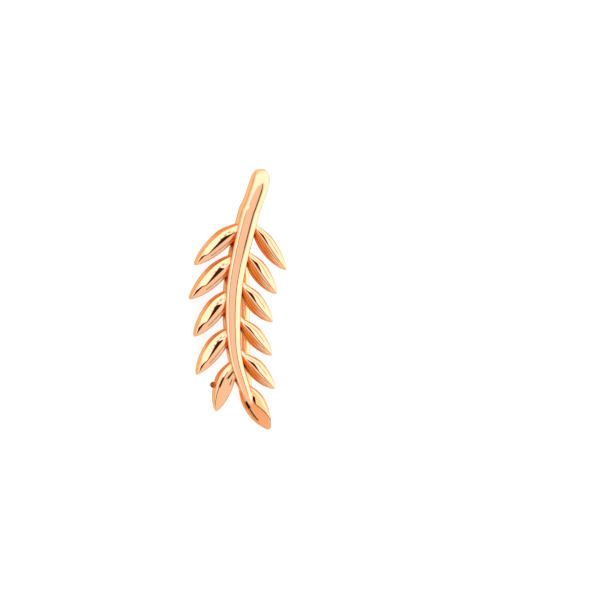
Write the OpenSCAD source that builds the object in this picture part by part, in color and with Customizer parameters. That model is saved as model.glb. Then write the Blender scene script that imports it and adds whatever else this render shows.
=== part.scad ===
// Leaf sprig ear climber: a cast sprig of eleven leaves and the round wire
// that is soldered to its head, goes through the ear and lies behind it.
// One solid metal piece. Millimetres, +Z up.

/* [Stem] */
// Height of the rounded crest above the stem's side walls
crest_rise = 0.3; // [0.1:0.05:0.5]
// How far each side wall leans out from the crest to the back
stem_draft = 0.1; // [0:0.02:0.3]

/* [Leaves] */
// How far a leaf's front edge lies behind the crest of the stem at its root
leaf_drop = 0.5; // [0.3:0.05:0.8]
// Height of the midrib above a leaf's front edges
midrib_rise = 0.3; // [0.1:0.02:0.4]
// How far a leaf's side walls lean out towards its back
leaf_draft = 0.14; // [0.05:0.01:0.35]
// Depth of a leaf's front edge at its tip
tip_front_y = 0.74; // [0.5:0.02:1]
// Depth of a leaf's back at its tip
tip_back_y = 1.46; // [1.3:0.02:1.7]

/* [Ear wire] */
// Diameter of the ear wire
wire_d = 0.9; // [0.6:0.02:1]
// Sideways place of the ear wire
wire_x = 1.22; // [1.1:0.02:1.5]
// Height of the joint between wire and head
wire_top_z = 15.85; // [15:0.05:16.5]
// Length of straight wire between the head and the top bend
wire_neck = 0.55; // [0.3:0.05:2]
// Radius of the top bend, at the middle of the wire
wire_bend_r = 1.85; // [1.2:0.05:2.5]
// Lean of the long straight part towards the sprig
wire_lean = 0.8; // [0:0.1:3]
// Lean of the long straight part to the right
wire_side_lean = 0.6; // [0:0.1:3]
// Length of the long straight part
wire_run = 9.3; // [7:0.1:11]
// Radius of the lower bend, at the middle of the wire
kick_bend_r = 1.6; // [1:0.1:3]
// Angle of the free end away from the sprig
wire_kick = 31; // [0:1:60]
// Turn of the free end to the right
wire_turn = 16; // [0:1:30]
// Length of the free end past the lower bend
wire_tip_len = 2; // [1:0.05:3]
// Radius of the solder at its foot, inside the casting
solder_r = 0.66; // [0.5:0.02:0.7]

/* [Hidden] */
rose_gold = "#e8b088";

// The flat back of the sprig lies this far behind the middle of its crest
back_y = 1.7;

// Stations of the stem from head to foot, each with these columns
Z = 0;
X = 1;
HALF_W = 2;
CREST_Y = 3;
BACK_Y = 4;
stem_table = [
    [20.12, 2.16, 0.20, 0.30, 0.80],
    [20.00, 2.17, 0.38, 0.00, 1.06],
    [19.68, 2.20, 0.56, -0.22, 1.22],
    [19.14, 2.16, 0.65, -0.34, 1.32],
    [18.30, 1.91, 0.65, -0.36, 1.42],
    [17.30, 1.56, 0.66, -0.32, 1.55],
    [16.60, 1.31, 0.69, -0.29, back_y],
    [13.95, 0.65, 0.66, -0.18, back_y],
    [11.65, 0.20, 0.62, -0.08, back_y],
    [10.10, 0.06, 0.60, -0.01, back_y],
    [8.60, 0.03, 0.57, 0.05, back_y],
    [6.70, 0.12, 0.49, 0.13, back_y],
    [5.15, 0.38, 0.44, 0.20, back_y],
    [3.60, 0.87, 0.38, 0.29, back_y],
    [2.60, 1.27, 0.28, 0.42, back_y],
    [1.70, 1.72, 0.12, 0.66, back_y]
];
stem_steps = 3;
crest_steps = 8;
// Half width at which the crest has its full rise and the walls their full draft
widest_half = 0.65;
// Step along the table over which the stem's direction is taken
slope_step = 0.01;

// Leaves from head to foot, left ones first: root, tip and greatest breadths
// either side of the line between them, on the leaf's outer and inner side
ROOT_X = 0;
ROOT_Z = 1;
TIP_X = 2;
TIP_Z = 3;
OUTER = 4;
INNER = 5;
leaf_table = [
    [0.75, 15.86, -2.84, 12.75, 0.78, 0.68],
    [0.25, 13.50, -3.24, 10.13, 0.74, 0.80],
    [-0.02, 10.80, -2.88, 7.25, 0.83, 0.76],
    [-0.02, 7.89, -2.69, 4.32, 0.86, 0.66],
    [0.13, 5.29, -1.18, 1.46, 0.89, 0.66],
    [1.92, 15.70, 4.26, 12.30, 0.56, 0.78],
    [1.37, 13.60, 3.52, 10.47, 0.60, 0.82],
    [0.98, 11.20, 3.21, 8.30, 0.58, 0.84],
    [0.83, 8.50, 3.17, 5.73, 0.62, 0.75],
    [0.98, 5.82, 3.37, 3.16, 0.68, 0.73],
    [1.06, 3.52, 3.00, 0.02, 0.80, 0.95]
];
leaf_steps = 12;
// Places along a leaf, as shares of its length: its buried end and its broadest place
leaf_start = -0.15;
leaf_broadest = 0.42;
// Breadths at a leaf's root and tip, as shares of the greatest
leaf_root_outer = 0.22;
leaf_root_inner = 0.58;
leaf_tip_breadth = 0.07;
// Fullness of the outline towards the tip, less than 1 is fuller
tip_fullness = 0.8;
// How far the leaves' backs lie in front of the stem's back at their roots
leaf_back_inset = 0.06;
// Share of the midrib's rise that is reached halfway across a facet
facet_bulge = 0.58;

// Casting nub behind the lowest left leaf
nub_r = 0.23;
nub_at = [-1.4, 1.46, 3.52];

// The solder starts this deep inside the casting and tapers this far along the wire
solder_sink = 0.2;
solder_long = 0.3;
wire_sides = 48;
bend_sides = 96;

// Both pieces are modelled upright, face towards -Y and the end leaf's tip near Z = 0.
// These lay them down on the wire and the second left leaf, face up, and bring the
// middle of the underside to the origin.
rest_turn = 36.97;
rest_dip = 2.64;
rest_shift = [-1.434, -10.091, 3.604];

// Column c of a table at place s, on a smooth curve through its rows
function smooth_at(table, s, c) =
    let (
        last = len(table) - 1,
        i = max(0, min(floor(s), last - 1)),
        u = s - i,
        p0 = table[max(i - 1, 0)][c],
        p1 = table[i][c],
        p2 = table[i + 1][c],
        p3 = table[min(i + 2, last)][c]
    )
    p1 + u * (p2 - p0) / 2
        + u * u * (p0 - 2.5 * p1 + 2 * p2 - p3 / 2)
        + u * u * u * (p3 - p0 + 3 * (p1 - p2)) / 2;

// Depth of the stem's crest at a height between two of its stations
function crest_at(z) = lookup(z, [for (row = stem_table) [row[Z], row[CREST_Y]]]);

// One solid through rings that all have the same number of points
module skin(rings) {
    count = len(rings[0]);
    last = len(rings) - 1;
    sides = [
        for (r = [0 : last - 1], k = [0 : count - 1])
            let (
                a = r * count + k,
                b = r * count + (k + 1) % count
            )
            each [[a, b, b + count], [a, b + count, a + count]]
    ];
    first_cap = [for (k = [1 : count - 2]) [0, k + 1, k]];
    last_cap = [for (k = [1 : count - 2]) [last * count, last * count + k, last * count + k + 1]];
    polyhedron([for (ring = rings) each ring], concat(first_cap, sides, last_cap));
}

// Ring across the stem at place s of its table
function stem_ring(s) =
    let (
        z = smooth_at(stem_table, s, Z),
        x = smooth_at(stem_table, s, X),
        half_w = smooth_at(stem_table, s, HALF_W),
        crest_y = smooth_at(stem_table, s, CREST_Y),
        stem_back = min(back_y, smooth_at(stem_table, s, BACK_Y)),
        dz = smooth_at(stem_table, s + slope_step, Z) - smooth_at(stem_table, s - slope_step, Z),
        dx = smooth_at(stem_table, s + slope_step, X) - smooth_at(stem_table, s - slope_step, X),
        across = [-dz, dx] / norm([dx, dz]),
        fullness = half_w / widest_half,
        back_half = half_w + stem_draft * fullness,
        section = concat(
            [[-back_half, stem_back]],
            [for (k = [0 : crest_steps])
                let (a = 180 - 180 * k / crest_steps)
                [half_w * cos(a), crest_y + crest_rise * fullness * (1 - sin(a))]],
            [[back_half, stem_back]]
        )
    )
    [for (p = section) [x + p[0] * across[0], p[1], z + p[0] * across[1]]];

module stem() {
    last = len(stem_table) - 1;
    skin([for (k = [0 : last * stem_steps]) stem_ring(k / stem_steps)]);
}

// Breadth of a leaf at place t from root to tip, as a share of its greatest
function leaf_breadth(t, root_breadth) =
    t < leaf_broadest
        ? root_breadth + (1 - root_breadth) * sin(90 * max(t, 0) / leaf_broadest)
        : leaf_tip_breadth + (1 - leaf_tip_breadth)
            * pow(max(0, 1 - pow((t - leaf_broadest) / (1 - leaf_broadest), 2)), tip_fullness);

// Ring across a leaf at place t from root to tip
function leaf_ring(row, t) =
    let (
        root = [row[ROOT_X], row[ROOT_Z]],
        axis = [row[TIP_X], row[TIP_Z]] - root,
        long = norm(axis),
        along = axis / long,
        across = [-along[1], along[0]],
        leftward = axis[0] < 0,
        outer = row[OUTER] * leaf_breadth(t, leaf_root_outer),
        inner = row[INNER] * leaf_breadth(t, leaf_root_inner),
        base_a = leftward ? inner : outer,
        base_b = leftward ? outer : inner,
        shrink = 1 - 2 * leaf_draft / (row[OUTER] + row[INNER]),
        front_t = t * (1 - leaf_draft / long),
        root_front_y = crest_at(row[ROOT_Z]) + leaf_drop,
        edge_y = root_front_y + (tip_front_y - root_front_y) * t,
        root_back_y = back_y - leaf_back_inset,
        under_y = root_back_y + (tip_back_y - root_back_y) * t,
        rib_y = edge_y - midrib_rise * (outer + inner) / (row[OUTER] + row[INNER]),
        facet_y = edge_y + (rib_y - edge_y) * facet_bulge,
        middle = (base_a - base_b) / 2,
        edge_a = middle + (base_a - middle) * shrink,
        edge_b = middle - (base_b + middle) * shrink,
        section = [
            [-base_b, under_y, t],
            [edge_b, edge_y, front_t],
            [(middle + edge_b) / 2, facet_y, front_t],
            [middle, rib_y, front_t],
            [(middle + edge_a) / 2, facet_y, front_t],
            [edge_a, edge_y, front_t],
            [base_a, under_y, t]
        ]
    )
    [for (p = section)
        let (spot = root + along * long * p[2] + across * p[0])
        [spot[0], p[1], spot[1]]];

module leaf(row) {
    skin([for (k = [0 : leaf_steps])
        leaf_ring(row, leaf_start + (1 - leaf_start) * sin(90 * k / leaf_steps))]);
}

module leaf_sprig() {
    color(rose_gold) {
        stem();
        for (row = leaf_table) leaf(row);
        translate(nub_at) sphere(r = nub_r, $fn = 12);
    }
}

// First stretch of wire, out of its solder; what follows starts at its end
module soldered_neck() {
    wire_r = wire_d / 2;
    rotate_extrude($fn = wire_sides)
        polygon([
            [0, -solder_sink],
            [solder_r, -solder_sink],
            [wire_r, solder_long],
            [wire_r, wire_neck],
            [0, wire_neck]
        ]);
    translate([0, 0, wire_neck]) children();
}

// Straight wire along +Z from the origin; what follows starts at its end
module straight_wire() {
    cylinder(d = wire_d, h = wire_run, $fn = wire_sides);
    translate([0, 0, wire_run]) children();
}

// Last stretch of wire, with its round end
module wire_tip() {
    rotate_extrude($fn = wire_sides) {
        square([wire_d / 2, wire_tip_len]);
        translate([0, wire_tip_len]) intersection() {
            circle(d = wire_d, $fn = wire_sides);
            square(wire_d / 2);
        }
    }
}

// Bend towards +Y from the origin; what follows starts at its end
module bent_wire(bend_r, angle) {
    translate([0, bend_r, 0]) {
        rotate([0, 90, 0]) rotate([0, 0, -90]) mirror([0, 1, 0])
            rotate_extrude(angle = angle, $fn = bend_sides)
                translate([bend_r, 0]) circle(d = wire_d, $fn = wire_sides);
        rotate([-angle, 0, 0]) translate([0, -bend_r, 0]) children();
    }
}

module ear_wire() {
    color(rose_gold)
    translate([wire_x, back_y, wire_top_z])
        rotate([0, -wire_side_lean, 0]) rotate([-90 - wire_lean, 0, 0])
            soldered_neck() bent_wire(wire_bend_r, 90) straight_wire()
                rotate([0, 0, wire_turn]) mirror([0, 1, 0])
                    bent_wire(kick_bend_r, wire_kick) wire_tip();
}

module ear_climber() {
    translate(rest_shift) rotate([-90 - rest_dip, 0, 0]) rotate([0, 0, -rest_turn]) {
        leaf_sprig();
        ear_wire();
    }
}

ear_climber();
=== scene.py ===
# The looks of a leaf sprig ear climber in polished rose gold, lying on a pale floor.
# The sprig and its ear wire are drawn upright in millimetres, from the same sizes as the
# solid model, then laid down the same way.
import math

import bmesh
import bpy
import numpy as np
from mathutils import Matrix, Vector
from mathutils.bvhtree import BVHTree


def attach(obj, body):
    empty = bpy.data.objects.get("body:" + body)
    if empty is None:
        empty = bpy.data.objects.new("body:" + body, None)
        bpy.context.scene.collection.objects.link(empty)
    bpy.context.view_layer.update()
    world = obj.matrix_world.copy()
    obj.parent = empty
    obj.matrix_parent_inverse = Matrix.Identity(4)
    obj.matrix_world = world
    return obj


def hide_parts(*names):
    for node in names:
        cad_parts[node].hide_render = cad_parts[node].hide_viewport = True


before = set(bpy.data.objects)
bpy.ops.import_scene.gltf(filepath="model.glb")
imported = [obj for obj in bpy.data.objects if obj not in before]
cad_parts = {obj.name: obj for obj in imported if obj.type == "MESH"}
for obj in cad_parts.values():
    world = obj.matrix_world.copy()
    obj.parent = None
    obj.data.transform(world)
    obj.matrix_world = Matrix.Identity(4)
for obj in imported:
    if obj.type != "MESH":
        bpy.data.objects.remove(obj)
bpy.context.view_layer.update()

MM = 0.001

# Sizes shared with the solid model, in millimetres
crest_rise = 0.3
stem_draft = 0.1
leaf_drop = 0.5
midrib_rise = 0.3
leaf_draft = 0.14
tip_front_y = 0.74
tip_back_y = 1.46
back_y = 1.7
widest_half = 0.65
leaf_start = -0.15
leaf_broadest = 0.42
leaf_root_outer = 0.22
leaf_root_inner = 0.58
leaf_tip_breadth = 0.07
tip_fullness = 0.8
leaf_back_inset = 0.06
wire_d = 0.9
wire_x = 1.22
wire_top_z = 15.85
wire_neck = 0.55
wire_bend_r = 1.85
wire_lean = 0.8
wire_side_lean = 0.6
wire_run = 9.3
kick_bend_r = 1.6
wire_kick = 31
wire_turn = 16
wire_tip_len = 2
solder_r = 0.66
solder_sink = 0.2
solder_lumps = [
    (0.75, 1.72, 15.65, 0.34),
    (1.62, 1.74, 15.55, 0.30),
    (1.30, 1.72, 16.30, 0.36),
    (0.95, 1.74, 16.15, 0.28),
]
nub_r = 0.23
nub_at = (-1.4, 1.46, 3.52)
rest_turn = 36.97
rest_dip = 2.64
rest_shift = (-1.434, -10.091, 3.604)

# Stations of the stem from head to foot: height, sideways place, half width,
# depth of the crest and depth of the back
Z, X, HALF_W, CREST_Y, BACK_Y = range(5)
stem_table = np.array([
    (20.12, 2.16, 0.20, 0.30, 0.80),
    (20.00, 2.17, 0.38, 0.00, 1.06),
    (19.68, 2.20, 0.56, -0.22, 1.22),
    (19.14, 2.16, 0.65, -0.34, 1.32),
    (18.30, 1.91, 0.65, -0.36, 1.42),
    (17.30, 1.56, 0.66, -0.32, 1.55),
    (16.60, 1.31, 0.69, -0.29, back_y),
    (13.95, 0.65, 0.66, -0.18, back_y),
    (11.65, 0.20, 0.62, -0.08, back_y),
    (10.10, 0.06, 0.60, -0.01, back_y),
    (8.60, 0.03, 0.57, 0.05, back_y),
    (6.70, 0.12, 0.49, 0.13, back_y),
    (5.15, 0.38, 0.44, 0.20, back_y),
    (3.60, 0.87, 0.38, 0.29, back_y),
    (2.60, 1.27, 0.28, 0.42, back_y),
    (1.70, 1.72, 0.12, 0.66, back_y),
])

# Leaves from head to foot, left ones first: root, tip and greatest breadths
# on the outer and inner side of the line between them
ROOT_X, ROOT_Z, TIP_X, TIP_Z, OUTER, INNER = range(6)
leaf_table = [
    (0.75, 15.86, -2.84, 12.75, 0.78, 0.68),
    (0.25, 13.50, -3.24, 10.13, 0.74, 0.80),
    (-0.02, 10.80, -2.88, 7.25, 0.83, 0.76),
    (-0.02, 7.89, -2.69, 4.32, 0.86, 0.66),
    (0.13, 5.29, -1.18, 1.46, 0.89, 0.66),
    (1.92, 15.70, 4.26, 12.30, 0.56, 0.78),
    (1.37, 13.60, 3.52, 10.47, 0.60, 0.82),
    (0.98, 11.20, 3.21, 8.30, 0.58, 0.84),
    (0.83, 8.50, 3.17, 5.73, 0.62, 0.75),
    (0.98, 5.82, 3.37, 3.16, 0.68, 0.73),
    (1.06, 3.52, 3.00, 0.02, 0.80, 0.95),
]

# How each leaf's face was filed, in the order of leaf_table. A flat strip lies beside the
# midrib: its breadth, and where along the leaf it starts, is widest and ends. From there the
# midrib moves outward, by a share of the leaf's half breadth and over a length, and a second
# strip lies beside it. Last is how far the inner facet falls. The lowest left leaf has no strips,
# and its midrib moves outward all along it.
STRIP, STARTS, WIDEST, ENDS, TIP_SHIFT, SHIFT_LONG, TIP_STRIP, FALL = range(8)
face_table = [
    (0.34, 0.17, 0.37, 0.74, 0.22, 0.05, 0.32, 1.0),
    (0.42, 0.27, 0.32, 0.67, 0.22, 0.05, 0.34, 1.0),
    (0.38, 0.28, 0.36, 0.68, 0.20, 0.05, 0.40, 1.0),
    (0.35, 0.23, 0.33, 0.70, 0.12, 0.05, 0.30, 1.0),
    (0.00, 0.18, 0.40, -0.25, 1.00, 1.30, 0.00, 0.12),
    (0.28, 0.03, 0.18, 0.40, 0.00, 0.05, 0.00, 1.0),
    (0.34, 0.05, 0.22, 0.44, 0.00, 0.05, 0.00, 1.0),
    (0.34, 0.05, 0.22, 0.44, 0.00, 0.05, 0.00, 1.0),
    (0.22, 0.04, 0.18, 0.40, 0.00, 0.05, 0.00, 1.0),
    (0.28, 0.07, 0.24, 0.46, 0.00, 0.05, 0.00, 1.0),
    (0.34, 0.20, 0.27, 0.40, 0.92, 0.42, 0.00, 0.6),
]

# Numbers added to a place along a piece, which tell the pieces apart in their material
left_leaf = 0
right_leaf = 2
end_leaf = 4
lowest_leaf = 6
on_stem = 10
on_nub = 30
leaf_kinds = [left_leaf] * 4 + [lowest_leaf] + [right_leaf] * 5 + [end_leaf]

# A leaf starts before its root, inside the stem, by less than this share of its length
before_root = 0.25
# The place across that marks a ball as all wall, and a depth that lies outside every strip
ball_across = 1.5
not_in_strip = -1

# Fineness of the meshes
stem_steps = 9
crest_steps = 32
leaf_steps = 60
facet_steps = 20
corner_steps = 4
ball_rows = 14
ball_sides = 24
wire_sides = 40
neck_steps = 8
bend_steps = 28
run_steps = 30
kick_steps = 12
tip_steps = 8
end_steps = 8
weld_gap = 1e-7
crease_angle = math.radians(32)

# Soft edges and filed facets, in the looks alone. A soft corner takes no more than corner_share
# of a side. The very tips of a leaf and of the wire keep a least breadth.
edge_soft = 0.07
back_soft = 0.05
corner_share = 0.45
tiny = 1e-9
ridge_soft = 0.025
facet_curve = 0.12
strip_slope = 0.6
ridge_line = 0.05
ridge_drop = 0.6
tip_strip_widest = 0.84
tip_strip_ends = 0.97
tip_round = 0.12
tip_least = 0.02
wire_end_least = 0.01

# How hollows are felt out: rays from each point, their reach and start above the metal
hollow_rays = 24
hollow_reach = 1.3 * MM
hollow_lift = 0.004 * MM

# Metal colours
polished_colour = (0.97, 0.53, 0.3, 1)
grazing_tint = (1, 0.68, 0.4, 1)
satin_colour = (0.88, 0.55, 0.28, 1)
# Painted bounce light: saturated orange for light thrown back and forth between the metal in its
# hollows
painted_bounce_colour = (0.85, 0.23, 0.035, 1)
# Painted shade: near black for the deepest hollows of the walls
painted_shade_colour = (0.3, 0.07, 0.015, 1)
# Painted dark reflection: near black on the strips beside the midribs and in the darkest lines
dark_reflection_colour = (0.03, 0.007, 0.002, 1)
# Dark brown for the file marks and for the painted dark reflections among the lines
line_colour = (0.1, 0.07, 0.02, 1)
# Painted dark reflection along the edges of the faces and painted shade at the feet of the walls
painted_edge_colour = (0.2, 0.07, 0.015, 1)
solder_colour = (0.9, 0.6, 0.36, 1)

# Roughness of each metal where it is polished, satin and deep
casting_roughness = (0.07, 0.24, 0.42)
wire_roughness = (0.1, 0.24, 0.35)
solder_roughness = (0.16, 0.28, 0.42)

# Heights in millimetres of each metal's waves and of its grain
casting_relief = (0.004, 0.007)
wire_relief = (0.003, 0.003)
solder_relief = (0.03, 0.01)

# Scales of the noises, to the millimetre, and how much fine detail a noise has
waves_per_mm = 1.1
grains_per_mm = 11.0
patches_per_mm = 2.5
rags_per_mm = 9.0
soft_detail = 1.0
middle_detail = 2.0
fine_detail = 3.0

# Strengths of the effects. The wire and the solder are satin all over, each to a share, the wire's
# hollows take more painted bounce light and shade than the casting's, and the nub is painted as a
# deep hollow.
patchiness = 0.5
wall_skin = 0.4
rim_strength = 0.85
edge_strength = 0.7
wire_wall = 0.6
solder_wall = 0.7
wire_hollow_gain = 1.5
wire_hollow_least = 0.1
nub_hollow = 0.9

# Ranges over which an effect comes in, each from its start to where it is full: by how far the
# surface faces the front, by place across a piece, by hollow, by noise, by place along a leaf and
# by strength. The line along an edge lies at edge_at across, and off_edge is how far beside it.
wall_facing = (0.7, 0.35)
lines_facing = (0.0, 0.3)
rims_facing = (-0.2, 0.05)
wall_across = (1.0, 1.1)
foot_across = (1.68, 1.95)
edge_at = 1.03
off_edge = (0.18, 0.05)
deep_hollow = (0.12, 0.5)
shade_hollow = (0.6, 1.0)
rim_patches = (0.1, 0.7)
root_share = (0.9, 0.15)
blackest_lines = (0.75, 0.95)

# Edges of the painted dark reflections on the strips: how soft, how ragged, and how far in they are
# ragged in full
strip_edge = (-0.012, 0.02)
strip_rag = 0.12
rag_depth = (0.0, 0.06)

# Marks of the draw plate along the wire: how stretched and fine they are, their height in
# millimetres, and the least share of roughness between them
drawn_stretch = 0.12
drawn_scale = 11.0
drawn_height = 0.004
drawn_least = 0.6

# Thin lines: the share of their breadth that is full, how soft their gaps and ends are, how
# finely they wander and break, and numbers that make each line different
line_core = 0.3
gap_soft = 0.06
line_end_soft = 0.05
wander_scale = 4.0
gap_scale = 14.0
gap_seed = 5.0
seed_step = 3.7

# Lines left by the file, and painted dark reflections in the corners of the facets and down the
# stem: which piece they are on, place across it, how that changes along it, breadth, start and end,
# how broken and wavy, and how dark
file_and_reflection_lines = [
    (left_leaf, -0.50, 0.3, 0.17, 0.12, 0.50, 0.48, 0.25, 0.70),
    (left_leaf, -0.25, 0.2, 0.12, 0.00, 0.24, 0.44, 0.20, 0.65),
    (left_leaf, 0.62, -0.1, 0.12, 0.20, 0.75, 0.32, 0.10, 0.60),
    (right_leaf, -0.58, 0.1, 0.09, 0.02, 0.66, 0.26, 0.20, 0.72),
    (right_leaf, 0.30, 0.1, 0.10, 0.08, 0.80, 0.34, 0.30, 0.65),
    (right_leaf, 0.66, 0.1, 0.10, 0.08, 0.85, 0.34, 0.15, 0.60),
    (end_leaf, 0.76, 0.0, 0.24, 0.24, 0.46, 0.15, 0.05, 1.00),
    (end_leaf, 0.76, 0.0, 0.12, 0.40, 0.74, 0.10, 0.05, 0.95),
    (end_leaf, -0.55, 0.4, 0.14, 0.05, 0.25, 0.40, 0.20, 0.70),
    (end_leaf, 0.40, 0.0, 0.12, 0.22, 0.36, 0.35, 0.20, 0.95),
    (lowest_leaf, -0.44, -0.6, 0.20, 0.30, 0.56, 0.15, 0.05, 1.00),
    (lowest_leaf, 0.50, -2.0, 0.20, 0.10, 0.36, 0.20, 0.05, 1.00),
    (lowest_leaf, 0.62, -0.4, 0.10, 0.28, 0.46, 0.30, 0.10, 0.85),
    (on_stem, 0.30, 0.0, 0.16, 0.20, 0.50, 0.00, 0.00, 0.78),
]

# Facets where painted deep orange bounce light shows at the root: which piece, place across from and
# to, how far along it reaches, and how strong it is
painted_root_bounce = [
    (left_leaf, 0.55, 0.90, 0.60, 1.0),
    (right_leaf, 0.05, 0.55, 0.95, 1.2),
    (end_leaf, -0.90, -0.60, 1.90, 0.65),
    (lowest_leaf, 0.60, 0.95, 0.70, 0.9),
]
# The share of its reach within which a glow is full
glow_core = 0.3


# Curves through the tables

def smooth_at(table, s, column):
    """A column of the table at place s, on a smooth curve through its rows."""
    last = len(table) - 1
    i = max(0, min(math.floor(s), last - 1))
    u = s - i
    p0 = table[max(i - 1, 0)][column]
    p1 = table[i][column]
    p2 = table[i + 1][column]
    p3 = table[min(i + 2, last)][column]
    return (p1 + u * (p2 - p0) / 2
            + u * u * (p0 - 2.5 * p1 + 2 * p2 - p3 / 2)
            + u ** 3 * (p3 - p0 + 3 * (p1 - p2)) / 2)


def crest_at(z):
    """Depth of the stem's crest at height z."""
    return float(np.interp(z, stem_table[::-1, Z], stem_table[::-1, CREST_Y]))


def soften(outline, corners):
    """The outline with each corner in {place: reach} replaced by a short curve of that reach."""
    out = []
    for k, p in enumerate(outline):
        p = np.array(p)
        if k not in corners:
            out.append(p)
            continue
        before = np.array(outline[k - 1])
        after = np.array(outline[(k + 1) % len(outline)])
        to_before = np.linalg.norm(before - p)
        to_after = np.linalg.norm(after - p)
        a = p + (before - p) * min(corners[k], to_before * corner_share) / max(to_before, tiny)
        b = p + (after - p) * min(corners[k], to_after * corner_share) / max(to_after, tiny)
        for j in range(corner_steps + 1):
            u = j / corner_steps
            out.append(a * (1 - u) ** 2 + p * 2 * u * (1 - u) + b * u * u)
    return out


# The casting, upright

def place_across(q, wall_q):
    """Place across a piece: within 1 of the middle on its face, and from 1 to 2 down its wall."""
    past = abs(q) - 1
    return q if past <= 0 else math.copysign(1 + past / (wall_q - 1), q)


def stem_ring(s):
    """The stem's outline at place s of its table, from the back round the crest to the back."""
    z = smooth_at(stem_table, s, Z)
    x = smooth_at(stem_table, s, X)
    half_w = smooth_at(stem_table, s, HALF_W)
    crest_y = smooth_at(stem_table, s, CREST_Y)
    stem_back = min(back_y, smooth_at(stem_table, s, BACK_Y))
    step = 0.01
    dz = smooth_at(stem_table, s + step, Z) - smooth_at(stem_table, s - step, Z)
    dx = smooth_at(stem_table, s + step, X) - smooth_at(stem_table, s - step, X)
    across = np.array((-dz, dx)) / math.hypot(dx, dz)
    fullness = half_w / widest_half
    back_half = half_w + stem_draft * fullness
    crest = []
    for k in range(crest_steps + 1):
        a = math.pi * (1 - k / crest_steps)
        crest.append((half_w * math.cos(a), crest_y + crest_rise * fullness * (1 - math.sin(a))))
    outline = [(-back_half, stem_back), *crest, (back_half, stem_back)]
    outline = soften(outline, {0: back_soft, len(outline) - 1: back_soft})
    return [(x + p[0] * across[0], p[1], z + p[0] * across[1],
             s + on_stem, place_across(p[0] / half_w, 1 + stem_draft / widest_half), not_in_strip)
            for p in outline]


def stem_rings():
    """The stem's outlines from head to foot."""
    count = (len(stem_table) - 1) * stem_steps
    return [stem_ring(k / stem_steps) for k in range(count + 1)]


def leaf_breadth(t, root_breadth):
    """Share of a leaf's greatest breadth at t along it, from 0 at its root to 1 at its tip."""
    if t < leaf_broadest:
        return root_breadth + (1 - root_breadth) * math.sin(math.pi / 2 * max(t, 0) / leaf_broadest)
    past = (t - leaf_broadest) / (1 - leaf_broadest)
    return leaf_tip_breadth + (1 - leaf_tip_breadth) * max(0, 1 - past * past) ** tip_fullness


def swell(t, starts, widest, ends):
    """Rises evenly from 0 at starts to 1 at widest, and falls back to 0 at ends."""
    return max(0.0, min((t - starts) / (widest - starts), (ends - t) / (ends - widest)))


def soft_min(values, soft):
    """The least of the values, rounded off where two of them cross."""
    least = min(values)
    return least - soft * math.log(sum(math.exp((least - v) / soft) for v in values))


def ridge_and_strip(t, face):
    """Place of the midrib across a leaf, and breadth of the flat strip outside it."""
    shifted = max(0.0, min(1.0, (t - face[ENDS]) / face[SHIFT_LONG]))
    strip = face[STRIP] * swell(t, face[STARTS], face[WIDEST], face[ENDS])
    if t > face[ENDS]:
        strip = face[TIP_STRIP] * swell(t, face[ENDS], tip_strip_widest, tip_strip_ends)
    return -face[TIP_SHIFT] * shifted, strip


def facet_height(q, t, face):
    """Share of the midrib's rise at q across a leaf, from -1 on its outer edge to 1 on its inner."""
    ridge, strip = ridge_and_strip(t, face)
    outer_slope = 1 / (1 + ridge - strip * (1 - strip_slope))
    u = soft_min((
        outer_slope * (1 + q),
        1 - outer_slope * strip_slope * (ridge - q),
        1 - face[FALL] * (q - ridge) / (1 - ridge),
    ), ridge_soft)
    return (u + facet_curve * u * (1 - u)) * (1 + ridge * ridge_drop)


def strip_depth(q, t, face):
    """How far q lies inside the flat strip, or less than 0 outside it."""
    ridge, strip = ridge_and_strip(t, face)
    # Within the strips' span the painted dark reflection reaches a little past the midrib, as a thin
    # dark line along it
    line = ridge_line if face[STARTS] < t < tip_strip_ends else -ridge_line
    return min(q - (ridge - strip - line), ridge + line - q)


def leaf_ring(row, face, kind, t):
    """A leaf's outline at t along it, from the back over the face to the back."""
    root = np.array((row[ROOT_X], row[ROOT_Z]))
    axis = np.array((row[TIP_X], row[TIP_Z])) - root
    long = np.linalg.norm(axis)
    along = axis / long
    across = np.array((-along[1], along[0]))
    inward = 1 if axis[0] < 0 else -1
    to_tip = (1 - t) * long
    closing = math.sqrt(max(0.0, 1 - (1 - to_tip / tip_round) ** 2)) if to_tip < tip_round else 1
    outer = row[OUTER] * leaf_breadth(t, leaf_root_outer) * max(closing, tip_least)
    inner = row[INNER] * leaf_breadth(t, leaf_root_inner) * max(closing, tip_least)
    base_a, base_b = (inner, outer) if inward > 0 else (outer, inner)
    shrink = 1 - 2 * leaf_draft / (row[OUTER] + row[INNER])
    front_t = t * (1 - leaf_draft / long)
    root_front_y = crest_at(row[ROOT_Z]) + leaf_drop
    edge_y = root_front_y + (tip_front_y - root_front_y) * t
    root_back_y = back_y - leaf_back_inset
    under_y = root_back_y + (tip_back_y - root_back_y) * t
    rise = midrib_rise * (outer + inner) / (row[OUTER] + row[INNER])
    middle = (base_a - base_b) / 2
    half_front = (base_a + base_b) / 2 * shrink
    outline = [(-base_b, under_y, t)]
    for k in range(-facet_steps, facet_steps + 1):
        s = k / facet_steps
        height = facet_height(s * inward, t, face)
        outline.append((middle + half_front * s, edge_y - rise * height, front_t))
    outline.append((base_a, under_y, t))
    last = len(outline) - 1
    outline = soften(outline, {0: back_soft, 1: edge_soft, last - 1: edge_soft, last: back_soft})
    ring = []
    for place, depth, share in outline:
        spot = root + along * long * share + across * place
        q = inward * (place - middle) / half_front
        ring.append((spot[0], depth, spot[1],
                     share + kind, place_across(q, 1 / shrink), strip_depth(q, share, face)))
    return ring


def leaf_rings(row, face, kind):
    """A leaf's outlines from root to tip, closer together towards the tip."""
    places = [leaf_start + (1 - leaf_start) * math.sin(math.pi / 2 * k / leaf_steps)
              for k in range(leaf_steps + 1)]
    return [leaf_ring(row, face, kind, t) for t in places]


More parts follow.
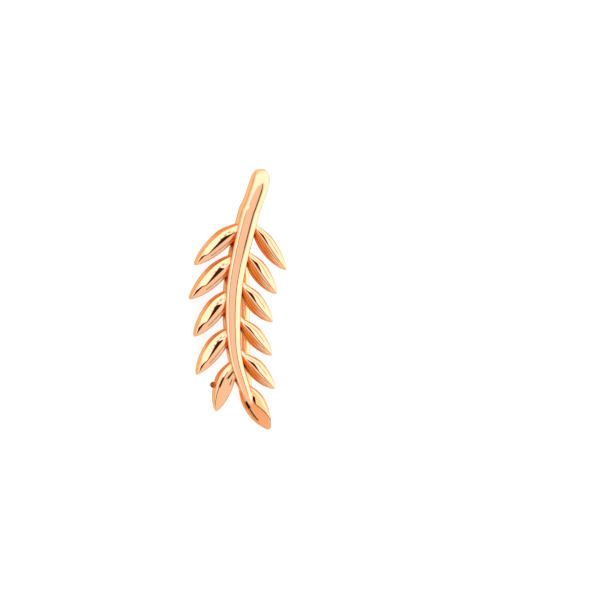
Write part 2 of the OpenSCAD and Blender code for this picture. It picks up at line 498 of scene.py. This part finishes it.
def ball_rings(centre, radius):
    """A ball with its poles up and down, as rings."""
    rings = []
    for k in range(1, ball_rows):
        a = math.pi * k / ball_rows
        rings.append([
            (centre[0] + radius * math.sin(a) * math.cos(b),
             centre[1] + radius * math.sin(a) * math.sin(b),
             centre[2] + radius * math.cos(a), on_nub, ball_across, not_in_strip)
            for b in np.linspace(0, 2 * math.pi, ball_sides, endpoint=False)
        ])
    return rings


# The ear wire, upright

def bend(start, bend_r, angle, steps, side=1):
    """Places round a bend that begins at the place start."""
    places = []
    for k in range(1, steps + 1):
        a = math.radians(angle) * k / steps
        places.append(start @ Matrix.Translation((0, side * bend_r, 0))
                      @ Matrix.Rotation(-side * a, 4, "X")
                      @ Matrix.Translation((0, -side * bend_r, 0)))
    return places


def straight(start, long, steps):
    """Places along a straight run that begins at the place start."""
    return [start @ Matrix.Translation((0, 0, long * k / steps)) for k in range(1, steps + 1)]


def wire_stations():
    """Places along the wire's middle, each a matrix whose z runs along it, with its radius."""
    wire_r = wire_d / 2
    to_joint = (Matrix.Translation((wire_x, back_y, wire_top_z))
                @ Matrix.Rotation(math.radians(-wire_side_lean), 4, "Y")
                @ Matrix.Rotation(math.radians(-90 - wire_lean), 4, "X"))
    stations = []
    for k in range(neck_steps + 1):
        u = k / neck_steps
        flare = (solder_r - wire_r) * (1 - u) ** 2
        sunk = -solder_sink + u * (wire_neck + solder_sink)
        stations.append((to_joint @ Matrix.Translation((0, 0, sunk)), wire_r + flare))
    top = bend(to_joint @ Matrix.Translation((0, 0, wire_neck)), wire_bend_r, 90, bend_steps)
    run = straight(top[-1], wire_run, run_steps)
    turned = run[-1] @ Matrix.Rotation(math.radians(wire_turn), 4, "Z")
    kick = bend(turned, kick_bend_r, wire_kick, kick_steps, side=-1)
    tip = straight(kick[-1], wire_tip_len, tip_steps)
    stations += [(place, wire_r) for place in top + run + kick + tip]
    for k in range(1, end_steps + 1):
        a = math.pi / 2 * k / end_steps
        stations.append((tip[-1] @ Matrix.Translation((0, 0, wire_r * math.sin(a))),
                         max(wire_r * math.cos(a), wire_end_least)))
    return stations


def wire_rings():
    """Round rings along the wire, with how far along and which way round each point lies."""
    stations = wire_stations()
    rings = []
    travelled = 0.0
    last_place = stations[0][0]
    for place, radius in stations:
        travelled += (place.translation - last_place.translation).length
        last_place = place
        rings.append([
            (*(place @ Vector((radius * math.cos(b), radius * math.sin(b), 0))),
             travelled, math.cos(b), math.sin(b))
            for b in np.linspace(0, 2 * math.pi, wire_sides, endpoint=False)
        ])
    return rings


# Meshes, laid down as the solid is

lay_down = (Matrix.Scale(MM, 4) @ Matrix.Translation(rest_shift)
            @ Matrix.Rotation(math.radians(-90 - rest_dip), 4, "X")
            @ Matrix.Rotation(math.radians(-rest_turn), 4, "Z"))
# The way the faces of the leaves look, once laid down
front_way = (lay_down.to_3x3() @ Vector((0, -1, 0))).normalized()


def skin(name, rings, metal):
    """A closed mesh through rings with equal numbers of points, each x, y, z and three more
    numbers that say where on the piece it is, kept as the mesh's place."""
    count = len(rings[0])
    points = [tuple(p[:3]) for ring in rings for p in ring]
    places = [c for ring in rings for p in ring for c in p[3:]]
    faces = []
    for r in range(len(rings) - 1):
        for k in range(count):
            a = r * count + k
            b = r * count + (k + 1) % count
            faces.append((a, b, b + count, a + count))
    faces.append(tuple(range(count))[::-1])
    faces.append(tuple(range((len(rings) - 1) * count, len(rings) * count)))
    mesh = bpy.data.meshes.new(name)
    mesh.from_pydata(points, [], faces)
    mesh.attributes.new("place", "FLOAT_VECTOR", "POINT").data.foreach_set("vector", places)
    mesh.materials.append(metal)
    bm = bmesh.new()
    bm.from_mesh(mesh)
    bmesh.ops.triangulate(bm, faces=bm.faces[:])
    bmesh.ops.recalc_face_normals(bm, faces=bm.faces[:])
    bm.to_mesh(mesh)
    bm.free()
    piece = bpy.data.objects.new(name, mesh)
    bpy.context.scene.collection.objects.link(piece)
    return piece


def unite(base, others):
    """Joins the others to the base as one solid skin."""
    group = bpy.data.collections.new("to_unite")
    for piece in others:
        group.objects.link(piece)
    union = base.modifiers.new("union", "BOOLEAN")
    union.operation = "UNION"
    union.operand_type = "COLLECTION"
    union.collection = group
    union.solver = "MANIFOLD"
    union.material_mode = "TRANSFER"
    depsgraph = bpy.context.evaluated_depsgraph_get()
    whole = bpy.data.meshes.new_from_object(base.evaluated_get(depsgraph))
    base.modifiers.clear()
    old = base.data
    base.data = whole
    whole.name = base.name
    bpy.data.meshes.remove(old)
    for piece in others:
        bpy.data.meshes.remove(piece.data)
    bpy.data.collections.remove(group)


def crease(piece):
    """Smooth shading everywhere but across the real edges."""
    bm = bmesh.new()
    bm.from_mesh(piece.data)
    bmesh.ops.remove_doubles(bm, verts=bm.verts[:], dist=weld_gap)
    for face in bm.faces:
        face.smooth = True
    for edge in bm.edges:
        edge.smooth = edge.is_manifold and edge.calc_face_angle(0) < crease_angle
    bm.to_mesh(piece.data)
    bm.free()


def mark_hollows(piece):
    """Keeps, at each point of the mesh, the share of directions that metal close by blocks."""
    bm = bmesh.new()
    bm.from_mesh(piece.data)
    tree = BVHTree.FromBMesh(bm)
    # Rays spread over half a ball on a spiral, more of them towards its pole
    rays = []
    for k in range(hollow_rays):
        rise = math.sqrt(1 - (k + 0.5) / hollow_rays)
        turn = k * math.pi * (3 - math.sqrt(5))
        flat = math.sqrt(1 - rise * rise)
        rays.append(Vector((flat * math.cos(turn), flat * math.sin(turn), rise)))
    shares = []
    for vert in bm.verts:
        start = vert.co + vert.normal * hollow_lift
        to_world = vert.normal.to_track_quat("Z", "Y")
        blocked = sum(tree.ray_cast(start, to_world @ ray, hollow_reach)[0] is not None
                      for ray in rays)
        shares.append(blocked / hollow_rays)
    bm.free()
    piece.data.attributes.new("hollow", "FLOAT", "POINT").data.foreach_set("value", shares)


def make_climber(casting_metal, wire_metal, solder_metal):
    """The stem with its leaves, nub, wire and solder, as one solid skin laid down."""
    climber = skin("ear_climber_metal", stem_rings(), casting_metal)
    leaves = [skin(f"leaf_{k}", leaf_rings(row, face_table[k], leaf_kinds[k]), casting_metal)
              for k, row in enumerate(leaf_table)]
    nub = skin("nub", ball_rings(nub_at, nub_r), casting_metal)
    solder = [skin(f"solder_{k}", ball_rings(lump[:3], lump[3]), solder_metal)
              for k, lump in enumerate(solder_lumps)]
    wire = skin("wire", wire_rings(), wire_metal)
    unite(climber, leaves + [nub, wire] + solder)
    climber.data.transform(lay_down)
    crease(climber)
    mark_hollows(climber)
    return climber


# Metals

class Formula:
    """Adds nodes to a tree and hands back their output sockets."""

    def __init__(self, tree):
        self.tree = tree

    def put(self, socket, value):
        """Sets an input socket to a value, or links another node's output to it."""
        if isinstance(value, bpy.types.NodeSocket):
            self.tree.links.new(value, socket)
        else:
            socket.default_value = value

    def math(self, operation, *values):
        """One sum or comparison."""
        node = self.tree.nodes.new("ShaderNodeMath")
        node.operation = operation
        for k, value in enumerate(values):
            self.put(node.inputs[k], value)
        return node.outputs[0]

    def along(self, vector, direction):
        """How far a vector goes in a direction."""
        node = self.tree.nodes.new("ShaderNodeVectorMath")
        node.operation = "DOT_PRODUCT"
        self.put(node.inputs[0], vector)
        self.put(node.inputs[1], direction)
        return node.outputs["Value"]

    def blend(self, share, one, other):
        """Colours mixed by a share, 0 for the first."""
        node = self.tree.nodes.new("ShaderNodeMix")
        node.data_type = "RGBA"
        self.put(node.inputs["Factor"], share)
        self.put(node.inputs[6], one)
        self.put(node.inputs[7], other)
        return node.outputs[2]

    def ramp(self, value, start, full):
        """A smooth step from 0 at start to 1 at full, which may be the lower of the two."""
        node = self.tree.nodes.new("ShaderNodeMapRange")
        node.interpolation_type = "SMOOTHSTEP"
        self.put(node.inputs["Value"], value)
        self.put(node.inputs["From Min"], start)
        self.put(node.inputs["From Max"], full)
        return node.outputs[0]

    def noise(self, place, scale, detail):
        """Soft noise between 0 and 1."""
        node = self.tree.nodes.new("ShaderNodeTexNoise")
        self.put(node.inputs["Vector"], place)
        self.put(node.inputs["Scale"], scale)
        self.put(node.inputs["Detail"], detail)
        return node.outputs[0]

    def uneven(self, place, scale, detail):
        """Noise about 0, where noise itself is about a half."""
        return self.math("SUBTRACT", self.noise(place, scale, detail), 0.5)

    def attribute(self, name, kind="Fac"):
        """What the mesh keeps at each of its points."""
        node = self.tree.nodes.new("ShaderNodeAttribute")
        node.attribute_name = name
        return node.outputs[kind]

    def split(self, vector):
        """The three numbers of a vector."""
        node = self.tree.nodes.new("ShaderNodeSeparateXYZ")
        self.put(node.inputs[0], vector)
        return node.outputs

    def join(self, *parts):
        """A vector of three numbers."""
        node = self.tree.nodes.new("ShaderNodeCombineXYZ")
        for socket, part in zip(node.inputs, parts):
            self.put(socket, part)
        return node.outputs[0]

    def effect(self, group, **values):
        """Places a shared effect with its inputs set by name, and hands back its outputs."""
        node = self.tree.nodes.new("ShaderNodeGroup")
        node.node_tree = group
        for name, value in values.items():
            self.put(node.inputs[name.replace("_", " ")], value)
        return node.outputs


def shared_effect(name, inputs, outputs):
    """An empty node group with the named sockets, each a name and Float, Vector or Color."""
    group = bpy.data.node_groups.new(name, "ShaderNodeTree")
    for way, sockets in (("INPUT", inputs), ("OUTPUT", outputs)):
        for label, kind in sockets:
            group.interface.new_socket(label, in_out=way, socket_type=f"NodeSocket{kind}")
    given = group.nodes.new("NodeGroupInput").outputs
    made = group.nodes.new("NodeGroupOutput").inputs
    return group, Formula(group), given, made


def metal_surface():
    """Slow waves left by hand polish and the grain of the cast skin, as a height in mm."""
    group, f, given, made = shared_effect(
        "metal_surface",
        [("Position", "Vector"), ("Wave", "Float"), ("Grain", "Float"), ("Skin", "Float")],
        [("Height", "Float")])
    waves = f.noise(given["Position"], waves_per_mm, soft_detail)
    grains = f.noise(given["Position"], grains_per_mm, fine_detail)
    rough_skin = f.math("MULTIPLY", f.math("MULTIPLY", grains, given["Grain"]), given["Skin"])
    f.put(made["Height"], f.math("ADD", f.math("MULTIPLY", waves, given["Wave"]), rough_skin))
    return group


def polish_and_painted_hollows():
    """Polished metal where the mop reaches and satin on the walls, with painted orange bounce light
    in the hollows and painted shade in the deepest hollows of the walls.
    """
    group, f, given, made = shared_effect(
        "polish_and_painted_hollows",
        [("Hollow", "Float"), ("Wall", "Float"), ("Position", "Vector"),
         ("Polished", "Color"), ("Satin", "Color"), ("Deep", "Color"), ("Grime", "Color"),
         ("Polished Roughness", "Float"), ("Satin Roughness", "Float"), ("Deep Roughness", "Float")],
        [("Color", "Color"), ("Roughness", "Float"), ("Skin", "Float")])
    patches = f.uneven(given["Position"], patches_per_mm, fine_detail)
    patches = f.math("MULTIPLY", patches, patchiness)
    hollow = f.math("ADD", given["Hollow"], f.math("MULTIPLY", patches, given["Wall"]))
    # Painted bounce light: the hollows take the saturated orange
    deep = f.ramp(hollow, *deep_hollow)
    # Painted shade in the deepest hollows of the walls
    hollow_shade = f.math("MULTIPLY", f.ramp(hollow, *shade_hollow), given["Wall"])
    colour = f.blend(given["Wall"], given["Polished"], given["Satin"])
    colour = f.blend(deep, colour, given["Deep"])
    f.put(made["Color"], f.blend(hollow_shade, colour, given["Grime"]))
    satin = f.math("MULTIPLY_ADD", given["Wall"],
                   f.math("SUBTRACT", given["Satin Roughness"], given["Polished Roughness"]),
                   given["Polished Roughness"])
    rough = f.math("MULTIPLY_ADD", deep, f.math("SUBTRACT", given["Deep Roughness"], satin), satin)
    f.put(made["Roughness"], f.math("MULTIPLY_ADD", patches, rough, rough))
    f.put(made["Skin"], f.math("MAXIMUM", f.math("MULTIPLY", given["Wall"], wall_skin), deep))
    return group


def broken_line():
    """A thin broken line along a piece at one place across it, as a mask."""
    group, f, given, made = shared_effect(
        "broken_line",
        [("Along", "Float"), ("Across", "Float"), ("At", "Float"), ("Slant", "Float"),
         ("Breadth", "Float"), ("From", "Float"), ("To", "Float"), ("Gaps", "Float"),
         ("Waviness", "Float"), ("Seed", "Float")],
        [("Mask", "Float")])
    past_start = f.math("SUBTRACT", given["Along"], given["From"])
    drift = f.uneven(f.join(given["Along"], given["Seed"], 0.0), wander_scale, soft_detail)
    at = f.math("MULTIPLY_ADD", drift, given["Waviness"], given["At"])
    at = f.math("MULTIPLY_ADD", past_start, given["Slant"], at)
    off = f.math("ABSOLUTE", f.math("SUBTRACT", given["Across"], at))
    line = f.ramp(off, given["Breadth"], f.math("MULTIPLY", given["Breadth"], line_core))
    dashes = f.noise(f.join(given["Along"], given["Seed"], gap_seed), gap_scale, middle_detail)
    dashes = f.ramp(dashes, given["Gaps"], f.math("ADD", given["Gaps"], gap_soft))
    start_full = f.math("ADD", given["From"], line_end_soft)
    end_full = f.math("SUBTRACT", given["To"], line_end_soft)
    ends = f.math("MULTIPLY", f.ramp(given["Along"], given["From"], start_full),
                  f.ramp(given["Along"], given["To"], end_full))
    f.put(made["Mask"], f.math("MULTIPLY", f.math("MULTIPLY", line, dashes), ends))
    return group


def metal_position(f):
    """Place on the metal in mm, for textures."""
    place = f.tree.nodes.new("ShaderNodeTexCoord").outputs["Object"]
    node = f.tree.nodes.new("ShaderNodeVectorMath")
    node.operation = "SCALE"
    f.put(node.inputs[0], place)
    f.put(node.inputs["Scale"], 1 / MM)
    return node.outputs[0]


def facing_front(f):
    """How far the surface faces the way the leaves do, from 1 for the front to -1 for the back."""
    normal = f.tree.nodes.new("ShaderNodeTexCoord").outputs["Normal"]
    return f.along(normal, tuple(front_way))


def surface_bump(f, shader, height):
    """Raises the surface by a height in mm."""
    bump = f.tree.nodes.new("ShaderNodeBump")
    bump.inputs["Distance"].default_value = MM
    f.put(bump.inputs["Height"], height)
    f.put(shader.inputs["Normal"], bump.outputs[0])


def start_metal(material):
    """A plain metal with the shared grazing tint, and the formula that its nodes are added with."""
    material.use_nodes = True
    shader = material.node_tree.nodes["Principled BSDF"]
    shader.inputs["Metallic"].default_value = 1
    shader.inputs["Specular Tint"].default_value = grazing_tint
    return Formula(material.node_tree), shader


def polish(f, position, hollow, wall, colours, roughness):
    """The shared polish, with its painted bounce light and shade in the hollows, set for one metal.
    """
    polished, satin = colours
    smooth, brushed, deep = roughness
    return f.effect(polish_group, Hollow=hollow, Wall=wall, Position=position,
                    Polished=polished, Satin=satin, Deep=painted_bounce_colour, Grime=painted_shade_colour,
                    Polished_Roughness=smooth, Satin_Roughness=brushed, Deep_Roughness=deep)


def surface_height(f, position, relief, rough_skin):
    """The shared metal surface, set for one metal, as a height in mm."""
    wave, grain = relief
    return f.effect(surface_group, Position=position, Wave=wave, Grain=grain,
                    Skin=rough_skin)["Height"]


def on_piece(f, along, kind):
    """1 on the piece or pieces of a kind, 0 elsewhere."""
    if kind == on_stem:
        half = len(stem_table) / 2
        return f.math("COMPARE", along, on_stem + half, half + 0.5)
    return f.math("COMPARE", along, kind + 0.5, 0.5 + before_root)


def share_along(f, along):
    """Place along a leaf from 0 to 1, whichever leaf it is."""
    shifted = f.math("ADD", along, before_root)
    return f.math("SUBTRACT", f.math("FLOORED_MODULO", shifted, right_leaf - left_leaf), before_root)


def lines_on_casting(f, along, across):
    """All the thin dark lines of the casting, file marks and painted dark reflections, as one mask.
    """
    leaf_share = share_along(f, along)
    stem_share = f.math("DIVIDE", f.math("SUBTRACT", along, on_stem), len(stem_table) - 1)
    lines = 0.0
    for k, (kind, at, slant, breadth, start, end, gaps, waviness, dark) in enumerate(file_and_reflection_lines):
        mask = f.effect(line_group, Along=stem_share if kind == on_stem else leaf_share,
                        Across=across, At=at, Slant=slant, Breadth=breadth, From=start, To=end,
                        Gaps=gaps, Waviness=waviness, Seed=k * seed_step)["Mask"]
        mask = f.math("MULTIPLY", f.math("MULTIPLY", mask, on_piece(f, along, kind)), dark)
        lines = f.math("MAXIMUM", mask, lines)
    return lines


def root_bounce_on_casting(f, along, across, wall):
    """How much painted deep orange bounce light the roots of the leaves have."""
    leaf_share = share_along(f, along)
    on_leaf = f.math("LESS_THAN", along, on_stem - 1)
    near_root = f.math("MULTIPLY", f.ramp(leaf_share, *root_share), on_leaf)
    glow = f.math("MULTIPLY", near_root, wall)
    for kind, start, full, reach, strength in painted_root_bounce:
        mask = f.math("MULTIPLY", f.ramp(across, start, full),
                      f.ramp(leaf_share, reach, reach * glow_core))
        mask = f.math("MULTIPLY", f.math("MULTIPLY", mask, on_piece(f, along, kind)), strength)
        glow = f.math("MAXIMUM", mask, glow)
    return glow


def rims_of_casting(f, position, across, facing):
    """The thin uneven brown line along each edge of a face and each foot of a wall, in front:
    painted dark reflection along the edges and painted shade at the feet of the walls.
    """
    from_middle = f.math("ABSOLUTE", across)
    foot = f.ramp(from_middle, *foot_across)
    edge = f.ramp(f.math("ABSOLUTE", f.math("SUBTRACT", from_middle, edge_at)), *off_edge)
    rims = f.math("MAXIMUM", foot, f.math("MULTIPLY", edge, edge_strength))
    rims = f.math("MULTIPLY", rims, f.ramp(facing, *rims_facing))
    patches = f.ramp(f.noise(position, waves_per_mm, fine_detail), *rim_patches)
    return f.math("MULTIPLY", f.math("MULTIPLY", rims, patches), rim_strength)


def strip_reflections_on_casting(f, position, depth, wall):
    """The painted dark reflections on the strips beside the midribs, with ragged edges, as a mask.
    """
    ragged = f.math("MULTIPLY", f.uneven(position, rags_per_mm, middle_detail), strip_rag)
    ragged = f.math("MULTIPLY", ragged, f.ramp(depth, *rag_depth))
    strips = f.ramp(f.math("ADD", depth, ragged), *strip_edge)
    return f.math("MULTIPLY", strips, f.math("SUBTRACT", 1.0, wall))


def finish_casting(material):
    """The stem, leaves and nub: mirror polish, satin walls, painted bounce light and shade in the
    hollows, painted dark reflections on the strips and along the edges, and dark lines that are file
    marks and painted reflections.
    """
    f, shader = start_metal(material)
    position = metal_position(f)
    facing = facing_front(f)
    along, across, depth = f.split(f.attribute("place", "Vector"))
    wall = f.math("MAXIMUM", f.ramp(facing, *wall_facing),
                  f.ramp(f.math("ABSOLUTE", across), *wall_across))
    # Painted bounce light at the leaf roots, counted as a hollow
    glow = f.math("MULTIPLY", root_bounce_on_casting(f, along, across, wall), deep_hollow[1])
    # Painted shade: the nub takes the orange and near black of a deep hollow
    nub_shade = f.math("MULTIPLY", f.math("GREATER_THAN", along, on_nub - 1), nub_hollow)
    hollow = f.math("ADD", f.math("MAXIMUM", f.attribute("hollow"), glow), nub_shade)
    tone = polish(f, position, hollow, wall, (polished_colour, satin_colour), casting_roughness)
    rims = rims_of_casting(f, position, across, facing)
    lines = f.math("MULTIPLY", lines_on_casting(f, along, across), f.ramp(facing, *lines_facing))
    strips = strip_reflections_on_casting(f, position, depth, wall)
    # The painted dark reflections of the strips and of the darkest lines
    dark = f.math("MAXIMUM", strips, f.ramp(lines, *blackest_lines))
    colour = f.blend(rims, tone["Color"], painted_edge_colour)
    colour = f.blend(lines, colour, line_colour)
    f.put(shader.inputs["Base Color"], f.blend(dark, colour, dark_reflection_colour))
    f.put(shader.inputs["Roughness"], tone["Roughness"])
    surface_bump(f, shader, surface_height(f, position, casting_relief, tone["Skin"]))


def finish_wire(material):
    """The ear wire: half satin, with the fine marks of the draw plate along it."""
    f, shader = start_metal(material)
    position = metal_position(f)
    travelled, turn_cos, turn_sin = f.split(f.attribute("place", "Vector"))
    # Painted bounce light and shade in the wire's hollows, stronger than on the casting
    hollow = f.math("MULTIPLY_ADD", f.attribute("hollow"), wire_hollow_gain, wire_hollow_least)
    tone = polish(f, position, hollow, wire_wall, (polished_colour, satin_colour), wire_roughness)
    stretched = f.join(f.math("MULTIPLY", travelled, drawn_stretch), turn_cos, turn_sin)
    drawn = f.noise(stretched, drawn_scale, fine_detail)
    f.put(shader.inputs["Base Color"], tone["Color"])
    f.put(shader.inputs["Roughness"],
          f.math("MULTIPLY", tone["Roughness"], f.math("ADD", drawn_least, drawn)))
    height = surface_height(f, position, wire_relief, tone["Skin"])
    surface_bump(f, shader, f.math("MULTIPLY_ADD", drawn, drawn_height, height))


def finish_solder(material):
    """The solder: paler, smooth and lumpy."""
    f, shader = start_metal(material)
    position = metal_position(f)
    # Painted bounce light and shade in the solder's hollows, as on the casting
    tone = polish(f, position, f.attribute("hollow"), solder_wall,
                  (solder_colour, solder_colour), solder_roughness)
    f.put(shader.inputs["Base Color"], tone["Color"])
    f.put(shader.inputs["Roughness"], tone["Roughness"])
    surface_bump(f, shader, surface_height(f, position, solder_relief, 1.0))


surface_group = metal_surface()
polish_group = polish_and_painted_hollows()
line_group = broken_line()
casting_metal = bpy.data.materials.new("polished_casting")
wire_metal = bpy.data.materials.new("drawn_wire")
solder_metal = bpy.data.materials.new("solder")
finish_casting(casting_metal)
finish_wire(wire_metal)
finish_solder(solder_metal)

climber = make_climber(casting_metal, wire_metal, solder_metal)
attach(climber, "root")
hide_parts("ear_climber")

# Floor, with light of its own so that it shows white
floor_half = 1.5
floor_colour = (0.25, 0.25, 0.25, 1)
floor_roughness = 0.6
floor_glow_colour = (1, 1, 1, 1)
floor_glow = 0.75

floor_mesh = bpy.data.meshes.new("floor")
floor_mesh.from_pydata(
    [(-floor_half, -floor_half, 0), (floor_half, -floor_half, 0),
     (floor_half, floor_half, 0), (-floor_half, floor_half, 0)], [], [(0, 1, 2, 3)])
floor = bpy.data.objects.new("floor", floor_mesh)
bpy.context.scene.collection.objects.link(floor)
floor_paint = bpy.data.materials.new("pale_floor")
floor_paint.use_nodes = True
paint = floor_paint.node_tree.nodes["Principled BSDF"]
paint.inputs["Base Color"].default_value = floor_colour
paint.inputs["Roughness"].default_value = floor_roughness
paint.inputs["Emission Color"].default_value = floor_glow_colour
paint.inputs["Emission Strength"].default_value = floor_glow
floor_mesh.materials.append(floor_paint)

# Camera at the photograph's angle to the sprig
view_turn = math.radians(-7)
view_rise = math.radians(4)
mm_per_pixel = 0.0766
frame_pixels = 600
foot_pixel = (233.3, 432.0)
camera_far = 0.5
clip_near = 0.01
clip_far = 10
sensor = 36

upright_right = Vector((math.cos(view_turn), math.sin(view_turn), 0))
upright_back = Vector((math.sin(view_turn) * math.cos(view_rise),
                       -math.cos(view_turn) * math.cos(view_rise), math.sin(view_rise)))
upright_up = upright_back.cross(upright_right)
aim = (upright_right * (frame_pixels / 2 - foot_pixel[0])
       + upright_up * (foot_pixel[1] - frame_pixels / 2)) * mm_per_pixel
turn_down = lay_down.to_3x3().normalized()
right, up, back = (turn_down @ v for v in (upright_right, upright_up, upright_back))
eye = lay_down @ aim + back * camera_far
camera_data = bpy.data.cameras.new("camera")
camera_data.sensor_width = sensor
camera_data.lens = sensor * camera_far / (frame_pixels * mm_per_pixel * MM)
camera_data.clip_start = clip_near
camera_data.clip_end = clip_far
camera = bpy.data.objects.new("camera", camera_data)
bpy.context.scene.collection.objects.link(camera)
camera.matrix_world = Matrix.Translation(eye) @ Matrix((right, up, back)).transposed().to_4x4()
bpy.context.scene.camera = camera

# Light: a bright tent all round, with a dimmer arch towards the camera, a dark slit on each side
# of the arch and a dimmer table. Angles are in degrees, sideways and up from the camera. The pairs
# go from where a slit starts to where it is full, and below_one keeps the arcsine in its range.
tent_light = 1.9
tent_tint = (0.94, 0.94, 1.04, 1)
table_colour = (1, 1, 1, 1)
slit_light = 0.03
arch_half = 24
arch_top = 0
arch_round = 7
table_top = -30
table_soft = 12
slit_wide = 5
slit_soft = 1.2
slit_foot = (-26.0, -20.0)
slit_top = (3.0, -3.0)
slit_side = (arch_half - 8.0, arch_half - 2.0)
below_one = 0.9999


def studio_world():
    """The tent, its table, its arch and the slits beside the arch, as seen from the sprig."""
    world = bpy.data.worlds.new("studio")
    world.use_nodes = True
    tree = world.node_tree
    f = Formula(tree)
    direction = tree.nodes.new("ShaderNodeTexCoord").outputs["Generated"]
    side = f.along(direction, right)
    rise = f.along(direction, up)
    toward = f.along(direction, back)
    turn = f.math("ABSOLUTE", f.math("DEGREES", f.math("ARCTAN2", side, toward)))
    height = f.math("DEGREES", f.math("ARCSINE", f.math("MULTIPLY", rise, below_one)))
    # Distance outside the arch, a box with round corners
    past_side = f.math("SUBTRACT", turn, arch_half - arch_round)
    past_top = f.math("SUBTRACT", height, arch_top - arch_round)
    corner = f.math("SQRT", f.math("ADD",
                                   f.math("POWER", f.math("MAXIMUM", past_side, 0.0), 2.0),
                                   f.math("POWER", f.math("MAXIMUM", past_top, 0.0), 2.0)))
    inside = f.math("MINIMUM", f.math("MAXIMUM", past_side, past_top), 0.0)
    to_arch = f.math("SUBTRACT", f.math("ADD", corner, inside), arch_round)
    on_table = f.ramp(height, table_top + table_soft, table_top - table_soft)
    in_arch = f.ramp(to_arch, slit_soft, -slit_soft)
    in_slit = f.ramp(to_arch, slit_wide + slit_soft, slit_wide - slit_soft)
    in_slit = f.math("MULTIPLY", in_slit, f.ramp(height, *slit_foot))
    in_slit = f.math("MULTIPLY", in_slit, f.ramp(height, *slit_top))
    in_slit = f.math("MULTIPLY", in_slit, f.ramp(turn, *slit_side))
    colour = f.blend(on_table, [c * tent_light for c in tent_tint], table_colour)
    colour = f.blend(in_slit, colour, [slit_light] * 4)
    colour = f.blend(in_arch, colour, table_colour)
    background = tree.nodes["Background"]
    tree.links.new(colour, background.inputs["Color"])
    background.inputs["Strength"].default_value = 1
    return world


scene = bpy.context.scene
scene.world = studio_world()
scene.view_settings.view_transform = "Standard"
